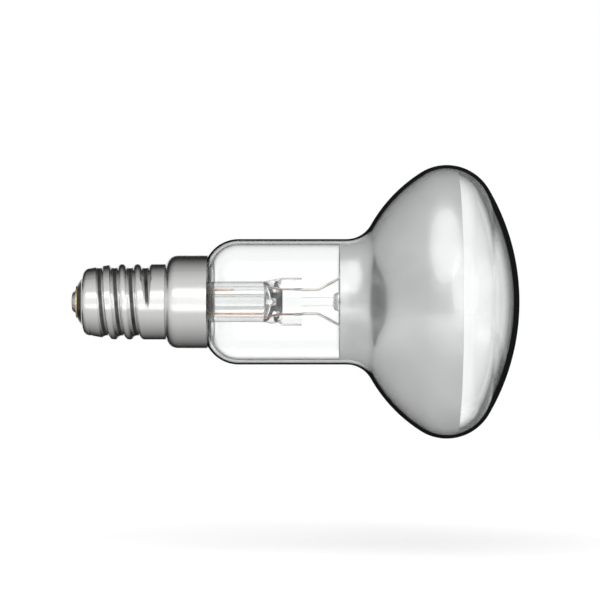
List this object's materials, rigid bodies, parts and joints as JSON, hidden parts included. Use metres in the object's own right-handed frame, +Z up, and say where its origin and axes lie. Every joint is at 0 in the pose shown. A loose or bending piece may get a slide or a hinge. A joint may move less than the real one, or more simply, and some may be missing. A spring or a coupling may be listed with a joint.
{
  "type": "reflector bulb",
  "caption": "Small reflector lamp: clear blown glass with a silvered flare, a straight neck and a threaded metal cap.",
  "frame": {"origin": "tip of the centre contact on the bulb's axis, where the cap bottoms in its lampholder", "axes": "+X along the bulb's axis from the cap to the face, +Z up with the bulb lying level as drawn, +Y to the back"},
  "size_m": [0.0817, 0.05, 0.05],
  "materials": {
    "clear_glass": "clear blown soda-lime glass, fire-polished",
    "silver_mirror": "vacuum-coated aluminium mirror, grey from outside",
    "cap_metal": "rolled bright aluminium, faint draw lines",
    "black_glass": "moulded opaque black glass, glossy",
    "contact_brass": "stamped brass, slightly dull",
    "solder": "tin solder, satin, slightly wrinkled",
    "cement": "baked capping cement, matt and porous",
    "stem_glass": "clear lead glass, pressed where the wires pass",
    "seal_copper": "copper-clad seal wire, borated red",
    "lead_copper": "drawn copper wire",
    "lead_nickel": "drawn nickel wire",
    "support_molybdenum": "drawn molybdenum wire",
    "filament_tungsten": "coiled tungsten wire, unlit"
  },
  "bodies": {
    "root": {"glass_envelope": "clear_glass", "mirror_coating": "silver_mirror", "cap_shell": "cap_metal", "contact_insulator": "black_glass", "contact_plate": "contact_brass", "contact_solder": "solder", "side_solder": "solder", "capping_cement": "cement", "stem_flare": "stem_glass", "exhaust_tube": "stem_glass", "arbor_rod": "stem_glass", "fuse_link": "lead_nickel", "outer_lead_centre": "lead_copper", "outer_lead_side": "lead_copper", "seal_wire_top": "seal_copper", "seal_wire_bottom": "seal_copper", "inner_lead_top": "lead_nickel", "inner_lead_bottom": "lead_nickel", "support_wire_1": "support_molybdenum", "support_wire_2": "support_molybdenum", "support_wire_3": "support_molybdenum", "filament": "filament_tungsten"}
  },
  "joints": []
}
